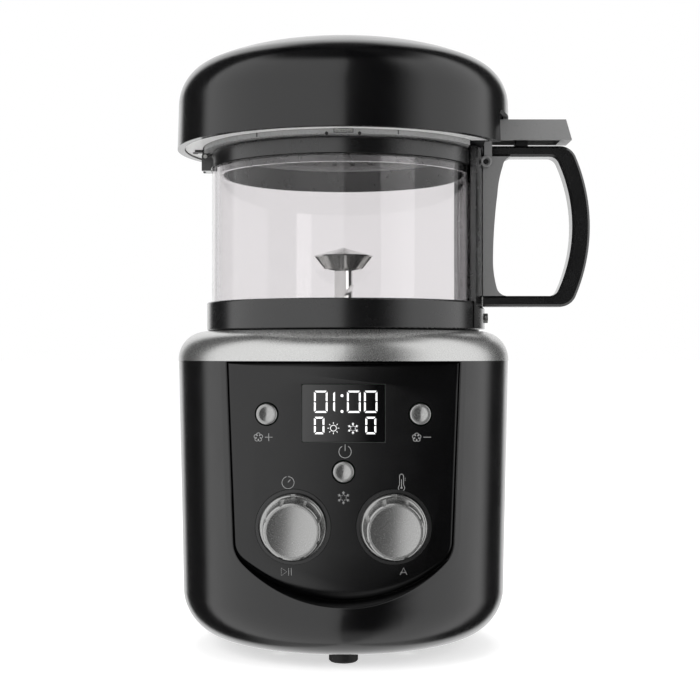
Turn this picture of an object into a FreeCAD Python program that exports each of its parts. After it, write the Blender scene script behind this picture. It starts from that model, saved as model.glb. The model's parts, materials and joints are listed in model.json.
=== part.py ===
import FreeCAD, Part
import math
import os
import Sketcher

# Home coffee bean roaster, millimetres. +Z is up, the front faces -Y and the handle points to +X.
# The origin is on the roaster's axis, on the surface that its feet stand on.

doc = FreeCAD.newDocument("CoffeeRoaster")
sheet = doc.addObject("Spreadsheet::Sheet", "Sizes")
nodes = []


class Length:
    """A number of the model together with the sheet formula that gives it."""

    def __init__(self, value, formula):
        self.value = value
        self.formula = formula

    def __add__(self, other):
        other = asLength(other)
        return Length(self.value + other.value, f"({self.formula} + {other.formula})")

    def __sub__(self, other):
        other = asLength(other)
        return Length(self.value - other.value, f"({self.formula} - {other.formula})")

    def __mul__(self, other):
        other = asLength(other)
        return Length(self.value * other.value, f"({self.formula} * {other.formula})")

    def __truediv__(self, other):
        other = asLength(other)
        return Length(self.value / other.value, f"({self.formula} / {other.formula})")

    def __neg__(self):
        return self * -1

    def __radd__(self, other):
        return asLength(other) + self

    def __rsub__(self, other):
        return asLength(other) - self


def asLength(number):
    if isinstance(number, Length):
        return number
    return Length(float(number), f"({float(number)})")


def root(square):
    return Length(math.sqrt(square.value), f"sqrt({square.formula})")


def size(name, value):
    """Writes one driving dimension into the sheet and hands it back."""
    row = len(size.names) + 1
    size.names.append(name)
    sheet.set(f"A{row}", name)
    sheet.set(f"B{row}", str(value))
    sheet.setAlias(f"B{row}", name)
    return Length(float(value), f"Sizes.{name}")


size.names = []

# Base: a tapered round shell with a flat cut across its front for the control panel
shellTopRadius = size("shell_top_radius", 89.9)
shellLowRadius = size("shell_low_radius", 87.3)
shellWall = size("shell_wall", 2.5)
shellTop = size("shell_top", 154)
shellBottom = size("shell_bottom", 6)
bottomCorner = size("bottom_corner", 25)
plateRadius = size("plate_radius", 60)
plateUnderside = size("plate_underside", 5)
plateFlange = size("plate_flange", 56.5)
footRadius = size("foot_radius", 7.5)
footCircle = size("foot_circle", 51)
seam = size("seam", 0.2)

# Panel: the flat plane, its outline and what it carries
panelPlane = size("panel_plane", 68)
panelThickness = size("panel_thickness", 3)
panelTopHalf = size("panel_top_half", 58.8)
panelLowHalf = size("panel_low_half", 55.2)
panelArcRadius = size("panel_arc_radius", 76)
panelArcZ = size("panel_arc_z", 109.4)
panelCorner = size("panel_corner", 14)
panelLip = size("panel_lip", 3)
boardPlane = size("board_plane", 55)
displayWide = size("display_wide", 41.9)
displayTall = size("display_tall", 29.2)
displayZ = size("display_z", 127.8)
buttonRadius = size("button_radius", 5.3)
buttonHole = size("button_hole", 6)
fanButtonX = size("fan_button_x", 38.5)
fanButtonZ = size("fan_button_z", 127.4)
powerButtonZ = size("power_button_z", 98.4)
buttonProud = size("button_proud", 2)
knobX = size("knob_x", 25.3)
knobZ = size("knob_z", 70.8)
knobSkirt = size("knob_skirt", 16.6)
knobFace = size("knob_face", 14.2)
knobProud = size("knob_proud", 20)
bezelRadius = size("bezel_radius", 18.9)
spindleRadius = size("spindle_radius", 3)
pushTravel = size("push_travel", 1)
fit = size("running_fit", 0.1)

# Shoulder and the well that the chamber stands in
shoulderRadius = size("shoulder_radius", 90)
shoulderTop = size("shoulder_top", 169.8)
shoulderRound = size("shoulder_round", 15)
shoulderHole = size("shoulder_hole", 68)
wellRadius = size("well_radius", 59.2)
deckBottom = size("deck_bottom", 146)
deckThickness = size("deck_thickness", 2.3)
heaterHole = size("heater_hole", 43.5)

# Air path and drives inside the base
blowerRadius = size("blower_radius", 48)
blowerBottom = size("blower_bottom", 12)
blowerTop = size("blower_top", 46)
sheetWall = size("moulded_wall", 1.5)
intakeRadius = size("intake_radius", 24)
impellerRadius = size("impeller_radius", 40)
impellerInner = size("impeller_inner", 27)
motorRadius = size("motor_radius", 16)
motorTop = size("motor_top", 54)
gearRadius = size("gear_radius", 20)
gearBottom = size("gear_bottom", 57)
canBottom = size("can_bottom", 84)
canWall = size("can_wall", 0.8)
coilRadius = size("coil_radius", 30)
coilWire = size("ribbon_thickness", 0.6)
ribbonWidth = size("ribbon_width", 2.2)
coilPitch = size("coil_pitch", 6)
coilTurns = size("coil_turns", 6)
driveRadius = size("drive_radius", 3)
dogSide = size("dog_side", 8)
dogTop = size("dog_top", 166)
ductWide = size("duct_wide", 30)
ductDeep = size("duct_deep", 15)

# Chamber: collar, glass, top ring and floor
collarRadius = size("collar_radius", 74.6)
collarTop = size("collar_top", 185.6)
collarBottom = size("collar_bottom", 170.2)
spigotBottom = size("spigot_bottom", 158)
spigotWall = size("spigot_wall", 2.2)
spigotPlay = size("spigot_play", 0.5)
glassRadius = size("glass_radius", 72)
glassWall = size("glass_wall", 4)
glassFoot = size("glass_foot", 176)
ringBottom = size("ring_bottom", 258.2)
ringTop = size("ring_top", 266.4)
ringRadius = size("ring_radius", 72.5)
sealThickness = size("seal_thickness", 0.8)
floorHeight = size("floor_height", 177)
floorThickness = size("floor_thickness", 1.2)
shaftRadius = size("stirrer_shaft", 4)
hatRadius = size("hat_radius", 16.6)
hatTop = size("hat_top", 216)
bladeReach = size("blade_reach", 57)

# Handle, thumb lever and its pivot
spineRadius = size("spine_radius", 75.8)
spineWall = size("spine_wall", 2.9)
spineTop = size("spine_top", 268)
handleTop = size("handle_top", 271.2)
handleBottom = size("handle_bottom", 183.4)
handleReach = size("handle_reach", 134.6)
handleBar = size("handle_bar", 5.9)
gripThickness = size("grip_thickness", 9.7)
gripHalf = size("grip_half", 6.5)
gripOuter = size("grip_outer_arc", 97.5)
gripInner = size("grip_inner_arc", 84.4)
gripCorner = size("grip_corner", 9.5)
gripInnerCorner = size("grip_inner_corner", 5.5)
gripBevel = size("grip_bevel", 1.3)
webHalf = size("web_half", 7)
screwHead = size("screw_head", 2.6)
screwSeat = size("screw_seat", 1.9)
screwY = size("screw_y", 10)
screwZ = size("screw_z", 177)
pivotX = size("pivot_x", 77.3)
pivotZ = size("pivot_z", 262)
pivotPin = size("pivot_pin", 1.35)
leverHalf = size("lever_half", 10.5)
leverBottom = size("lever_bottom", 273.8)
leverTop = size("lever_top", 284.9)
leverReach = size("lever_reach", 124)
leverWall = size("lever_wall", 2)

# Lid: dome, underplate, filter and hinge
lidRadius = size("lid_radius", 90.6)
lidRim = size("lid_rim", 268.5)
lidShoulder = size("lid_shoulder", 292)
lidTop = size("lid_top", 323.2)
lidWall = size("lid_wall", 2.6)
slotHalf = size("slot_half", 38)
slotTop = size("slot_top", 285.6)
bandRadius = size("band_radius", 76.3)
bandBottom = size("band_bottom", 266.9)
bandTop = size("band_top", 271.9)
underPlane = size("underplate_plane", 269.3)
hingeX = size("hinge_x", 75.4)
hingeZ = size("hinge_z", 265.4)
hingePin = size("hinge_pin", 1.1)


# Tools of the model

def bindPlace(thing, x, y, z, rotation=None):
    """Places a top-level object and ties its place to the sheet."""
    x, y, z = asLength(x), asLength(y), asLength(z)
    turn = rotation or FreeCAD.Rotation()
    thing.Placement = FreeCAD.Placement(FreeCAD.Vector(x.value, y.value, z.value), turn)
    thing.setExpression("Placement.Base.x", x.formula)
    thing.setExpression("Placement.Base.y", y.formula)
    thing.setExpression("Placement.Base.z", z.formula)
    return thing


AXIS_TURN = {
    "z": FreeCAD.Rotation(),
    "y": FreeCAD.Rotation(FreeCAD.Vector(1, 0, 0), -90),
    "x": FreeCAD.Rotation(FreeCAD.Vector(0, 1, 0), 90),
}


def cylinder(name, radius, start, length, axis="z"):
    """A cylinder that grows from start along +axis."""
    rod = doc.addObject("Part::Cylinder", name)
    rod.Radius = asLength(radius).value
    rod.Height = asLength(length).value
    rod.setExpression("Radius", asLength(radius).formula)
    rod.setExpression("Height", asLength(length).formula)
    return bindPlace(rod, *start, AXIS_TURN[axis])


def box(name, low, high):
    """A box between its low and high corners."""
    block = doc.addObject("Part::Box", name)
    for side, bottom, top in zip(("Length", "Width", "Height"), low, high):
        span = asLength(top) - asLength(bottom)
        setattr(block, side, span.value)
        block.setExpression(side, span.formula)
    return bindPlace(block, *low)


def cut(name, base, *tools):
    """Takes the tools out of the base; tools that meet each other are joined first."""
    result = doc.addObject("Part::Cut", name + "_cut")
    result.Base = base
    result.Tool = tools[0] if len(tools) == 1 else fuse(name + "_tools", *tools)
    return result


def fuse(name, *pieces):
    joined = doc.addObject("Part::MultiFuse", name + "_joined")
    joined.Shapes = list(pieces)
    joined.Refine = False
    return joined


def common(name, first, second):
    shared = doc.addObject("Part::MultiCommon", name + "_shared")
    shared.Shapes = [first, second]
    return shared


def group(name, pieces):
    bunch = doc.addObject("Part::Compound", name + "_group")
    bunch.Links = list(pieces)
    return bunch


def keep(label, thing):
    """Names a finished sub-part; its label names its file."""
    thing.Label = label
    nodes.append(thing)
    return thing


def originPlane(body, role):
    for feature in body.Origin.OriginFeatures:
        if feature.Role == role:
            return feature
    raise RuntimeError("no plane " + role)


def arcBetween(first, last, radius):
    """The short arc between two points; a positive radius bulges to the right of the way."""
    chord = last - first
    half = chord.Length / 2
    inward = math.sqrt(max(radius * radius - half * half, 0.0))
    left = FreeCAD.Vector(-chord.y, chord.x, 0).normalize()
    centre = (first + last) * 0.5 + left * (inward if radius > 0 else -inward)
    start, finish = (first, last) if radius > 0 else (last, first)
    begin = math.atan2(start.y - centre.y, start.x - centre.x)
    end = math.atan2(finish.y - centre.y, finish.x - centre.x)
    if end < begin:
        end += 2 * math.pi
    return Part.ArcOfCircle(Part.Circle(centre, FreeCAD.Vector(0, 0, 1), abs(radius)), begin, end)


def outline(body, name, corners, plane="XZ_Plane", lift=0):
    """A closed sketch through (across, up) corners; a third value is the radius of the arc that
    runs from that corner to the next, positive where it bulges to the right of the way."""
    sketch = body.newObject("Sketcher::SketchObject", name)
    sketch.AttachmentSupport = [(originPlane(body, plane), "")]
    sketch.MapMode = "FlatFace"
    lift = asLength(lift)
    sketch.AttachmentOffset = FreeCAD.Placement(FreeCAD.Vector(0, 0, lift.value), FreeCAD.Rotation())
    sketch.setExpression("AttachmentOffset.Base.z", lift.formula)
    across = [asLength(corner[0]) for corner in corners]
    upward = [asLength(corner[1]) for corner in corners]
    points = [FreeCAD.Vector(x.value, y.value, 0) for x, y in zip(across, upward)]
    ends = []
    for i, corner in enumerate(corners):
        here, there = points[i], points[(i + 1) % len(points)]
        if len(corner) < 3:
            line = sketch.addGeometry(Part.LineSegment(here, there), False)
            ends.append((line, 1, 2))
            continue
        bend = asLength(corner[2])
        index = sketch.addGeometry(arcBetween(here, there, bend.value), False)
        ends.append((index, 1, 2) if bend.value > 0 else (index, 2, 1))
        radius = sketch.addConstraint(Sketcher.Constraint("Radius", index, abs(bend.value)))
        bound = bend if bend.value > 0 else -bend
        sketch.setExpression(f"Constraints[{radius}]", bound.formula)
    for i, (index, start, _) in enumerate(ends):
        before, _, finish = ends[i - 1]
        sketch.addConstraint(Sketcher.Constraint("Coincident", before, finish, index, start))
        for kind, length in (("DistanceX", across[i]), ("DistanceY", upward[i])):
            rule = sketch.addConstraint(Sketcher.Constraint(kind, -1, 1, index, start, length.value))
            sketch.setExpression(f"Constraints[{rule}]", length.formula)
    return sketch


def newBody(name):
    return doc.addObject("PartDesign::Body", name)


def revolved(name, corners, angle=360.0):
    """A body turned about the Z axis from a half section in (radius, height)."""
    body = newBody(name)
    sketch = outline(body, name + "_section", corners)
    turn = body.newObject("PartDesign::Revolution", name + "_turn")
    turn.Profile = sketch
    turn.ReferenceAxis = (sketch, ["V_Axis"])
    turn.Angle = angle
    return body


def padded(name, corners, length, plane="XZ_Plane", lift=0, middle=False):
    """A body pushed out of a flat outline."""
    body = newBody(name)
    sketch = outline(body, name + "_outline", corners, plane, lift)
    pad = body.newObject("PartDesign::Pad", name + "_pad")
    pad.Profile = sketch
    pad.Length = asLength(length).value
    pad.setExpression("Length", asLength(length).formula)
    pad.SideType = "Symmetric" if middle else "One side"
    return body


def roundEdges(name, base, radius, wanted, chamfer=False):
    """Rounds or bevels the edges that the wanted test picks by their middle point and direction."""
    doc.recompute()
    kind = "Part::Chamfer" if chamfer else "Part::Fillet"
    soft = doc.addObject(kind, name + ("_bevel" if chamfer else "_round"))
    soft.Base = base
    radius = asLength(radius).value
    picked = []
    for number, edge in enumerate(base.Shape.Edges, 1):
        first, last = edge.ParameterRange
        place = edge.valueAt((first + last) / 2)
        heading = edge.tangentAt((first + last) / 2)
        if wanted(place, heading):
            picked.append((number, radius, radius))
    if not picked:
        raise RuntimeError("no edges to round on " + name)
    soft.Edges = picked
    return soft


def around(name, make, count, first=0.0):
    """Copies of one piece, evenly about the Z axis."""
    copies = []
    for number in range(count):
        copy = doc.addObject("Part::Compound", f"{name}_turn{number}")
        copy.Links = [make(number)]
        turn = FreeCAD.Rotation(FreeCAD.Vector(0, 0, 1), first + 360.0 * number / count)
        copy.Placement = FreeCAD.Placement(FreeCAD.Vector(), turn)
        copies.append(copy)
    return copies


# Base

def panelPrism(name, growth, front, back):
    """The control panel's outline grown on every side, between two planes of Y."""
    top = shellTop - seam if growth.value <= 0 else shellTop
    arcLow = panelArcZ - panelArcRadius - growth
    cornerX = panelLowHalf + growth
    reach = (panelArcRadius.value + growth.value) ** 2 - cornerX.value ** 2
    drop = Length(math.sqrt(reach), f"sqrt((Sizes.panel_arc_radius + {growth.formula})"
                  f" * (Sizes.panel_arc_radius + {growth.formula})"
                  f" - {cornerX.formula} * {cornerX.formula})")
    cornerZ = panelArcZ - drop
    bend = -(panelArcRadius + growth)
    corners = [
        (panelTopHalf + growth, top),
        (cornerX, cornerZ, bend),
        (asLength(0), arcLow, bend),
        (-cornerX, cornerZ),
        (-(panelTopHalf + growth), top),
    ]
    prism = padded(name, corners, front - back, lift=back)

    def isCorner(place, heading):
        return abs(heading.y) > 0.99 and place.z < cornerZ.value + 1 and abs(place.x) > 20

    return roundEdges(name, prism, panelCorner + growth, isCorner)


def buildShell():
    lowZ = shellBottom + bottomCorner
    flatRadius = shellLowRadius - bottomCorner
    skin = revolved("shell_skin", [
        (plateFlange, shellBottom),
        (flatRadius, shellBottom, bottomCorner),
        (shellLowRadius, lowZ),
        (shellTopRadius, shellTop),
        (shellTopRadius - shellWall, shellTop),
        (shellLowRadius - shellWall, lowZ, -(bottomCorner - shellWall)),
        (flatRadius, shellBottom + shellWall),
        (plateFlange, shellBottom + shellWall),
    ])
    filled = revolved("shell_filled", [
        (0, shellBottom),
        (flatRadius, shellBottom, bottomCorner),
        (shellLowRadius, lowZ),
        (shellTopRadius, shellTop),
        (0, shellTop),
    ])
    back = panelPlane - panelThickness
    liningPrism = panelPrism("lining_prism", shellWall + 0.7, asLength(100), back - 2.5)
    lining = common("shell_lining", filled, liningPrism)
    recess = panelPrism("recess_prism", asLength(0), asLength(100), back)
    window = panelPrism("window_prism", -panelLip, asLength(100), back - 5)
    glandHole = cylinder("gland_hole", 5.2, (0, 80, 32), 12, "y")
    glandSeat = cylinder("gland_seat", 8.4, (0, shellLowRadius - 1.3, 32), 6, "y")
    whole = fuse("base_shell", skin, lining)
    return keep("base_shell", cut("base_shell", whole, recess, window, glandHole, glandSeat))


def buildPlate():
    disc = revolved("plate_disc", [
        (0, plateUnderside),
        (plateRadius, plateUnderside),
        (plateRadius, shellBottom),
        (plateFlange - seam, shellBottom),
        (plateFlange - seam, shellBottom + shellWall),
        (0, shellBottom + shellWall),
    ])
    top = shellBottom + shellWall
    posts = [cylinder(f"blower_post{i}", 3, (42 * c, 42 * s, top), blowerBottom - top)
             for i, (c, s) in enumerate(((0.7071, 0.7071), (-0.7071, 0.7071),
                                         (-0.7071, -0.7071), (0.7071, -0.7071)))]
    posts += [cylinder(f"board_post{i}", 2.4, (x, 52.8, top), blowerBottom - top)
              for i, x in enumerate((-12, 12))]
    slots = around("intake", lambda n: box(f"intake_slot{n}", (8, -1.25, 4), (intakeRadius, 1.25, 10)), 16)
    screwHoles = [cylinder(f"plate_screw_hole{i}", 1.8, (47 * c, 47 * s, 4), 6)
                  for i, (c, s) in enumerate(((0.7071, 0.7071), (-0.7071, 0.7071),
                                              (-0.7071, -0.7071), (0.7071, -0.7071)))]
    whole = fuse("base_plate", disc, *posts)
    return keep("base_plate", cut("base_plate", whole, *slots, *screwHoles))


def buildFeet():
    feet = []
    for number in range(4):
        foot = revolved(f"foot{number}", [
            (0, 0),
            (footRadius - 0.8, 0),
            (footRadius, 0.8),
            (footRadius, plateUnderside),
            (0, plateUnderside),
        ])
        angle = math.radians(90 * number)
        bindPlace(foot, footCircle * round(math.cos(angle)), footCircle * round(math.sin(angle)), 0)
        feet.append(foot)
    return keep("rubber_feet", group("feet", feet))


def buildPlateScrews():
    screws = []
    for number, (c, s) in enumerate(((0.7071, 0.7071), (-0.7071, 0.7071),
                                     (-0.7071, -0.7071), (0.7071, -0.7071))):
        head = cylinder(f"plate_screw_head{number}", 3.2, (47 * c, 47 * s, plateUnderside - 1.8), 1.8)
        shank = cylinder(f"plate_screw_shank{number}", 1.5, (47 * c, 47 * s, plateUnderside), 5)
        screws.append(fuse(f"plate_screw{number}", head, shank))
    return keep("base_screws", group("base_screws", screws))


def buildShoulder():
    lipInner = shellTopRadius - shellWall - 2.6
    bendTop = shoulderTop - shoulderRound
    innerRound = shoulderRound - shellWall
    across = lipInner - (shoulderRadius - shoulderRound)
    rise = Length(math.sqrt(innerRound.value ** 2 - across.value ** 2),
                  f"sqrt({innerRound.formula} * {innerRound.formula} - {across.formula} * {across.formula})")
    ring = revolved("shoulder_turned", [
        (shoulderRadius, shellTop),
        (shoulderRadius, bendTop, shoulderRound),
        (shoulderRadius - shoulderRound, shoulderTop),
        (shoulderHole, shoulderTop),
        (shoulderHole, shoulderTop - shellWall),
        (shoulderRadius - shoulderRound, shoulderTop - shellWall, -innerRound),
        (lipInner, bendTop + rise),
        (lipInner, shellTop - 4),
        (lipInner + 2.3, shellTop - 4),
        (lipInner + 2.3, shellTop),
    ])
    filled = revolved("shoulder_filled", [
        (0, shellTop),
        (shoulderRadius, shellTop),
        (shoulderRadius, bendTop, shoulderRound),
        (shoulderRadius - shoulderRound, shoulderTop),
        (0, shoulderTop),
    ])
    back = panelPlane - panelThickness - 2.5
    slab = box("ceiling_slab", (-80, -100, shellTop), (80, -back, shellTop + shellWall))
    ceiling = common("shoulder_ceiling", filled, slab)
    lipCut = box("lip_cut", (-70, -100, shellTop - 6), (70, -back + 0.3, shellTop))
    return keep("shoulder_ring", fuse("shoulder_ring", cut("shoulder_lip", ring, lipCut), ceiling))


def buildWell():
    outer = wellRadius + 2.5
    under = shoulderTop - shellWall
    return keep("chamber_well", revolved("chamber_well", [
        (heaterHole, deckBottom),
        (outer, deckBottom),
        (outer, under - 2.3),
        (shoulderHole + 6, under - 2.3),
        (shoulderHole + 6, under),
        (wellRadius, under),
        (wellRadius, deckBottom + deckThickness),
        (heaterHole, deckBottom + deckThickness),
    ]))


def buildSeatGasket():
    under = shoulderTop - shellWall
    return keep("seat_gasket", revolved("seat_gasket", [
        (wellRadius + 2, under),
        (shoulderHole - 1.5, under),
        (shoulderHole - 1.5, under + 1.2, 3),
        (wellRadius + 2, under + 1.2),
    ]))


# Control panel and what is behind it

def pairX(x):
    return (-x, x)


def buildPanel():
    back = panelPlane - panelThickness
    plate = panelPrism("panel_plate", -seam, panelPlane, back)
    edge = roundEdges("panel_front", plate, 1.2,
                      lambda place, heading: abs(place.y + panelPlane.value) < 0.01)
    bosses = []
    for number, (x, z) in enumerate(((-47, 140), (47, 140), (-45, 62), (45, 62))):
        bosses.append(cylinder(f"panel_boss{number}", 3, (x, -back, z), back - boardPlane, "y"))
    guides = []
    holes = []
    places = [(-fanButtonX, fanButtonZ), (fanButtonX, fanButtonZ), (asLength(0), powerButtonZ)]
    for number, (x, z) in enumerate(places):
        guides.append(cylinder(f"button_guide{number}", buttonHole + 1.4, (x, -back, z), 3, "y"))
        holes.append(cylinder(f"button_hole{number}", buttonHole, (x, -panelPlane - 1, z), 8, "y"))
    for number, x in enumerate(pairX(knobX)):
        holes.append(cylinder(f"bezel_hole{number}", bezelRadius + seam, (x, -panelPlane - 1, knobZ), 8, "y"))
    halfWide, halfTall = displayWide * 0.5, displayTall * 0.5
    holes.append(box("display_hole", (-halfWide, -panelPlane - 1, displayZ - halfTall),
                     (halfWide, -back + 1, displayZ + halfTall)))
    whole = fuse("control_panel", edge, *bosses, *guides)
    return keep("control_panel", cut("control_panel", whole, *holes))


def buildDisplay():
    back = panelPlane - panelThickness
    halfWide, halfTall = displayWide * 0.5 - seam, displayTall * 0.5 - seam
    pane = box("display_pane", (-halfWide, -panelPlane + 0.4, displayZ - halfTall),
               (halfWide, -back, displayZ + halfTall))
    keep("display_window", roundEdges("display_pane", pane, 0.8,
                                      lambda place, heading: abs(heading.y) > 0.99))
    halfWide, halfTall = displayWide * 0.5 + 2, displayTall * 0.5 + 2
    module = box("module_case", (-halfWide, -back, displayZ - halfTall),
                 (halfWide, -boardPlane - 1, displayZ + halfTall))
    pins = [box(f"module_pins{i}", (-15, -boardPlane - 1, displayZ + dz),
                (15, -boardPlane, displayZ + dz + 2)) for i, dz in enumerate((-12, 10))]
    keep("display_module", fuse("display_module", module, *pins))


def buildBoard():
    board = box("board_plate", (-50, -boardPlane, 56), (50, -boardPlane + 1.6, 146))
    chips = [box(f"chip{i}", (x, -boardPlane + 1.6, z), (x + w, -boardPlane + 4, z + t))
             for i, (x, z, w, t) in enumerate(((-8, 110, 16, 16), (-40, 104, 12, 8), (22, 108, 14, 6)))]
    plug = box("ribbon_socket", (-12, -boardPlane + 1.6, 132), (12, -boardPlane + 8, 138))
    keep("control_board", fuse("control_board", board, *chips, plug))


def buildSwitches():
    switches = []
    places = [(-fanButtonX, fanButtonZ), (fanButtonX, fanButtonZ), (asLength(0), powerButtonZ)]
    for number, (x, z) in enumerate(places):
        case = box(f"switch_case{number}", (x - 3, -boardPlane - 2.6, z - 3), (x + 3, -boardPlane, z + 3))
        tip = cylinder(f"switch_tip{number}", 1.6, (x, -boardPlane - 3.4, z), 0.8, "y")
        switches.append(fuse(f"switch{number}", case, tip))
    keep("tact_switches", group("tact_switches", switches))


def buildButton(label, x, z):
    """A dished cap in front of the panel on a stem that ends just short of its switch."""
    start = boardPlane + 3.4 + pushTravel + 0.4
    deep = panelPlane + buttonProud - start
    cap = revolved(label + "_cap", [
        (0, 0),
        (2.4, 0),
        (2.4, 3),
        (buttonRadius, 3),
        (buttonRadius, deep - 0.8, 0.8),
        (buttonRadius - 0.8, deep),
        (buttonRadius - 1.6, deep, -16),
        (0, deep - 0.6),
    ])
    keep(label, bindPlace(cap, x, -start, z, FreeCAD.Rotation(FreeCAD.Vector(1, 0, 0), 90)))


def buildKnobParts(side, x):
    back = panelPlane - panelThickness
    centre = (x, 0, knobZ)
    turned = FreeCAD.Rotation(FreeCAD.Vector(1, 0, 0), 90)
    bezel = revolved(side + "_bezel", [
        (3.8, back),
        (bezelRadius, back),
        (bezelRadius, panelPlane + 0.5),
        (bezelRadius - 1.5, panelPlane + 0.5),
        (bezelRadius - 1.5, back + 1.2),
        (3.8, back + 1.2),
    ])
    bindPlace(bezel, *centre, turned)
    case = box(side + "_encoder_case", (x - 6.5, -back, knobZ - 6.5), (x + 6.5, -boardPlane, knobZ + 6.5))
    bush = cylinder(side + "_encoder_bush", 3.6, (x, -back - 2.2, knobZ), 2.2, "y")
    bore = cylinder(side + "_encoder_bore", spindleRadius + fit, (x, -back - 3, knobZ), 10, "y")
    encoder = cut(side + "_encoder", fuse(side + "_encoder", case, bush), bore)
    spindleStart = back - 5.5
    spindleEnd = panelPlane + knobProud - 3.4
    spindle = cylinder(side + "_spindle_rod", spindleRadius, (x, -spindleEnd, knobZ),
                       spindleEnd - spindleStart, "y")
    return bezel, encoder, spindle


def buildKnob(label, x):
    """A hollow knob: notched skirt, tapered grip with eight scallops, dished face and a bore for the spindle."""
    turned = FreeCAD.Rotation(FreeCAD.Vector(1, 0, 0), 90)
    rear = panelPlane - 0.3
    front = panelPlane + knobProud
    cap = revolved(label + "_cap", [
        (spindleRadius + fit, rear + 2),
        (6, rear + 2),
        (6, front - 3),
        (11.2, front - 3),
        (13.2, rear + 4.4),
        (knobSkirt - 1.4, rear),
        (knobSkirt, rear),
        (knobSkirt, rear + 3.2, 1),
        (knobSkirt - 1, rear + 4.2),
        (knobFace + 0.8, rear + 4.8),
        (knobFace, front - 1, 1),
        (knobFace - 1, front),
        (knobFace - 1.8, front, -90),
        (0, front - 0.9),
        (0, front - 3.3),
        (spindleRadius + fit, front - 3.3),
    ])
    bindPlace(cap, x, 0, knobZ, turned)
    scallops = []
    for number in range(8):
        angle = math.radians(22.5 + 45 * number)
        reach = knobFace + 0.9
        scallops.append(cylinder(f"{label}_scallop{number}", 1.7,
                                 (x + reach * math.sin(angle), -front - 1, knobZ + reach * math.cos(angle)),
                                 front - rear - 4, "y"))
    pointer = box(label + "_pointer", (x - 1.3, -rear - 4.9, knobZ + knobFace + 0.4),
                  (x + 1.3, -rear - 2.2, knobZ + knobSkirt + 1))
    keep(label, cut(label, cap, *scallops, pointer))


# Air path, heater and drives

def buildBlower():
    shell = revolved("blower_turned", [
        (intakeRadius, blowerBottom),
        (blowerRadius, blowerBottom),
        (blowerRadius, blowerTop),
        (motorRadius + 0.3, blowerTop),
        (motorRadius + 0.3, blowerTop - sheetWall),
        (blowerRadius - sheetWall, blowerTop - sheetWall),
        (blowerRadius - sheetWall, blowerBottom + sheetWall),
        (intakeRadius, blowerBottom + sheetWall),
    ])
    outlet = box("blower_outlet", (-ductWide * 0.5 + sheetWall, 24.5, blowerTop - 4),
                 (ductWide * 0.5 - sheetWall, ductDeep + 23 - sheetWall, blowerTop + 2))
    keep("blower_housing", cut("blower_housing", shell, outlet))
    duct = box("duct_block", (-ductWide * 0.5, 23, blowerTop), (ductWide * 0.5, ductDeep + 23, canBottom))
    hollow = box("duct_hollow", (-ductWide * 0.5 + sheetWall, 24.5, blowerTop - 1),
                 (ductWide * 0.5 - sheetWall, ductDeep + 23 - sheetWall, canBottom + 1))
    keep("air_duct", cut("air_duct", duct, hollow))


def buildMotor():
    body = revolved("fan_motor_body", [
        (2.2, blowerTop - 13),
        (motorRadius, blowerTop - 13),
        (motorRadius, blowerTop),
        (motorRadius + 4, blowerTop),
        (motorRadius + 4, blowerTop + 2),
        (motorRadius, blowerTop + 2),
        (motorRadius, motorTop, 1.5),
        (motorRadius - 1.5, motorTop + 1.5),
        (0, motorTop + 1.5),
        (0, motorTop - 4),
        (2.2, motorTop - 4),
    ])
    keep("fan_motor", body)
    start = blowerBottom + 4
    keep("motor_shaft", cylinder("motor_shaft_rod", 2, (0, 0, start), motorTop - 4.3 - start))


def buildImpeller():
    """A squirrel-cage wheel: back plate, hub, front ring and forward-curved blades."""
    low = blowerBottom + 3
    high = blowerTop - 16
    disc = revolved("impeller_disc", [
        (2.05, high - 14),
        (7, high - 14),
        (7, high - 1.2),
        (impellerRadius, high - 1.2),
        (impellerRadius, high),
        (2.05, high),
    ])
    ring = revolved("impeller_ring", [
        (impellerInner, low),
        (impellerRadius, low),
        (impellerRadius, low + 1),
        (impellerInner, low + 1),
    ])
    count = 20

    def blade(number):
        return padded(f"impeller_blade{number}", [
            (impellerInner, -2, -16),
            (impellerRadius - 0.6, 4),
            (impellerRadius - 0.6, 5.1, 15),
            (impellerInner, -1),
        ], high - low, plane="XY_Plane", lift=low)

    keep("impeller", fuse("impeller", disc, ring, *around("impeller", blade, count)))


def buildHeater():
    outer = heaterHole + canWall
    can = revolved("can_turned", [
        (4.2, canBottom),
        (outer, canBottom),
        (outer, deckBottom - canWall),
        (outer + 5, deckBottom - canWall),
        (outer + 5, deckBottom),
        (heaterHole, deckBottom),
        (heaterHole, canBottom + canWall),
        (4.2, canBottom + canWall),
    ])
    inlet = box("can_inlet", (-ductWide * 0.5 + sheetWall, 24.5, canBottom - 1),
                (ductWide * 0.5 - sheetWall, ductDeep + 23 - sheetWall, canBottom + 3))
    keep("heater_can", cut("heater_can", can, inlet))
    low = canBottom + canWall
    high = deckBottom - 2
    edge = coilRadius - coilWire - seam
    plates = [
        box("mica_x", (-edge, -0.5, low), (edge, 0.5, high)),
        box("mica_y", (-0.5, -edge, low), (0.5, edge, high)),
    ]
    tube = cylinder("mica_tube", 6.5, (0, 0, low), high - low)
    bore = cylinder("mica_bore", 4.6, (0, 0, low - 1), high - low + 2)
    feed = box("mica_feed_cut", (-2, 22, low - 1), (2, 40, low + 8))
    keep("heater_frame", cut("heater_frame", fuse("heater_frame", *plates, tube), bore, feed))
    keep("heater_coil", buildCoil(low + 10))


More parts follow.
